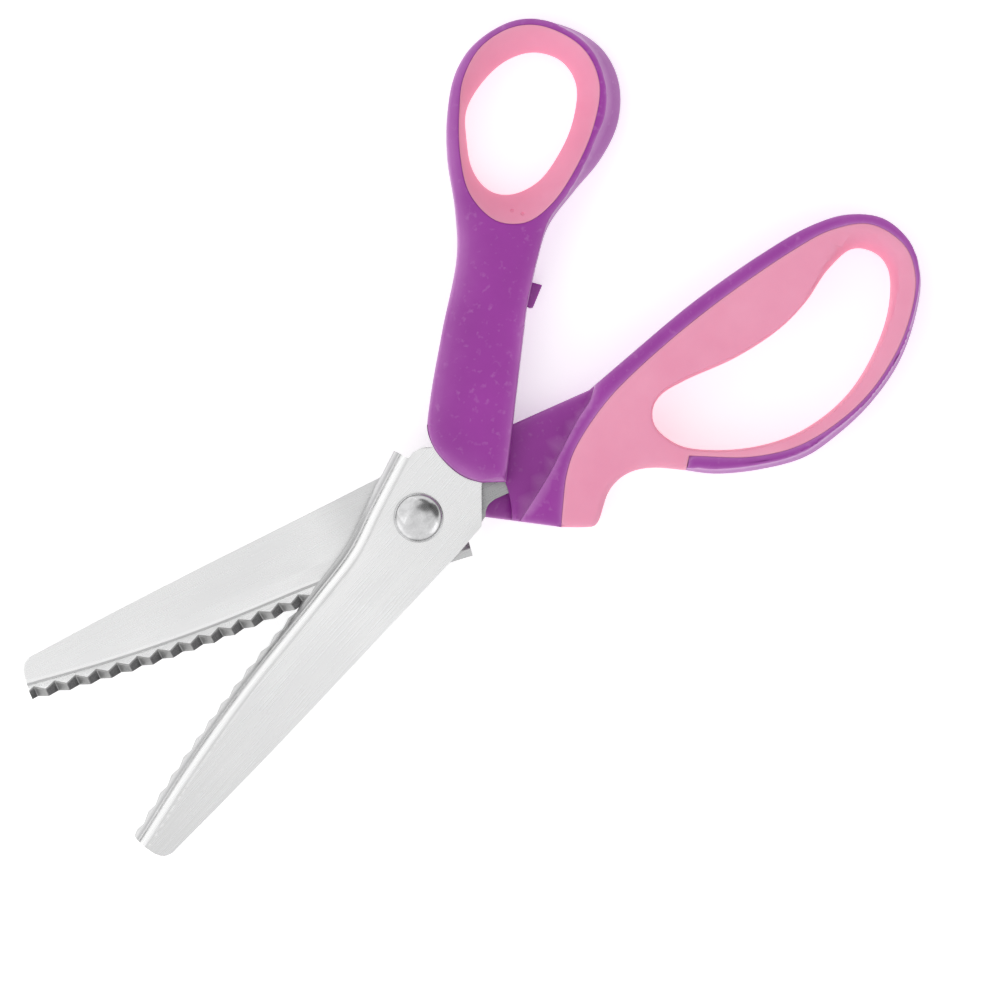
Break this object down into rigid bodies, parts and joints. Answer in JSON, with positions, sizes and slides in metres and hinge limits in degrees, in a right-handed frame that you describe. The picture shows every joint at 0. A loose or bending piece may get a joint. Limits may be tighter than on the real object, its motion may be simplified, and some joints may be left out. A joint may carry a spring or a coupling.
{
  "type": "pinking shears",
  "caption": "Hand shears with zigzag cutting rims on folded steel blades, a domed pivot rivet, and hard handles with soft grips round a finger bow and a thumb ring.",
  "frame": {"origin": "centre of the rivet's flat tail, on the pivot axis, level with the back faces of both handles", "axes": "+Z along the pivot axis towards the rivet's domed head, +X from the pivot along the finger handle, so the blades point towards -X; the finger half is fixed and the thumb half turns"},
  "size_m": [0.2335, 0.1464, 0.014],
  "materials": {
    "hard_plastic": "moulded purple plastic, satin",
    "soft_grip": "matt pink soft-touch plastic",
    "blade_steel": "finely brushed along the blade",
    "rivet_steel": "polished dome",
    "washer_steel": "plain turned steel",
    "nylon": "natural nylon"
  },
  "bodies": {
    "finger_half": {"finger_handle": "hard_plastic", "finger_grip": "soft_grip", "lower_blade": "blade_steel", "pivot_rivet": "rivet_steel", "tail_washer": "washer_steel", "lower_thrust_washer": "nylon", "pivot_bush": "washer_steel"},
    "thumb_half": {"thumb_handle": "hard_plastic", "thumb_grip": "soft_grip", "upper_blade": "blade_steel", "upper_thrust_washer": "nylon"}
  },
  "joints": [
    {"name": "pivot", "type": "hinge", "parent": "finger_half", "child": "thumb_half", "pos_m": [0, 0, 0.007], "axis": [0, 0, 1], "range_deg": [-24, 32]}
  ]
}
